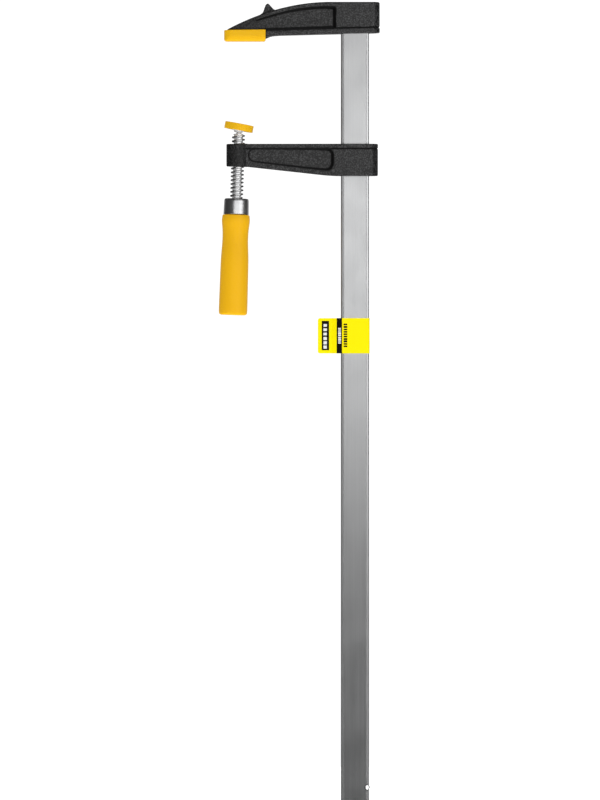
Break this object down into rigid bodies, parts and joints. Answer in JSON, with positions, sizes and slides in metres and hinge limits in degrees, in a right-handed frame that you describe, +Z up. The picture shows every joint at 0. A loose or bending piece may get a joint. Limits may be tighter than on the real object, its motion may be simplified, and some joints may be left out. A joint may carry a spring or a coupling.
{
  "type": "f clamp",
  "caption": "Hand screw clamp with a cast fixed jaw on a long flat steel bar, a sliding cast arm, a swivel pad on a threaded spindle and a straight moulded grip.",
  "frame": {"origin": "on the clamping face of the fixed jaw's cap, opposite the screw", "axes": "+Z up along the bar, +X from the screw towards the bar, +Y across the bar's thickness"},
  "size_m": [0.186, 0.0334, 0.9293],
  "materials": {
    "bar_steel": "satin, drawn along its length",
    "plated_steel": "bright zinc plate",
    "ferrule_chrome": "polished",
    "coated_casting": "black textured powder coat",
    "cap_plastic": "satin moulded",
    "handle_plastic": "semi-gloss moulded",
    "tag_card": "printed film"
  },
  "bodies": {
    "fixed_frame": {"bar": "bar_steel", "bar_stop_pin": "plated_steel", "fixed_jaw": "coated_casting", "fixed_jaw_cap": "cap_plastic"},
    "arm": {"sliding_arm": "coated_casting"},
    "screw_carrier": {"pad_retaining_ring": "plated_steel"},
    "screw": {"spindle": "plated_steel", "ferrule": "ferrule_chrome", "handle": "handle_plastic"},
    "pad": {"swivel_pad": "plated_steel", "swivel_pad_cap": "cap_plastic"},
    "tag": {"label_tag": "tag_card"}
  },
  "joints": [
    {"name": "arm_slide", "type": "slide", "parent": "fixed_frame", "child": "arm", "axis": [0, 0, 1], "range_m": [-0.66, 0.053]},
    {"name": "screw_advance", "type": "slide", "parent": "arm", "child": "screw_carrier", "axis": [0.0314, 0, 0.9995], "range_m": [-0.012, 0.036]},
    {"name": "screw_turn", "type": "hinge", "parent": "screw_carrier", "child": "screw", "pos_m": [-0.00186, 0, -0.1], "axis": [0.0314, 0, 0.9995], "range_deg": [-964, 2884]},
    {"name": "pad_tilt", "type": "hinge", "parent": "screw_carrier", "child": "pad", "pos_m": [-0.00186, 0, -0.1], "axis": [0, -1, 0], "range_deg": [0, 17.6]},
    {"name": "tag_slide", "type": "slide", "parent": "fixed_frame", "child": "tag", "axis": [0, 0, 1], "range_m": [-0.498, 0.041]}
  ],
  "couplings": [
    {"joint": "screw_turn", "follows": "screw_advance", "rad_per_m": 1396.3},
    {"joint": "tag_slide", "follows": "arm_slide", "ratio": 0.753}
  ]
}
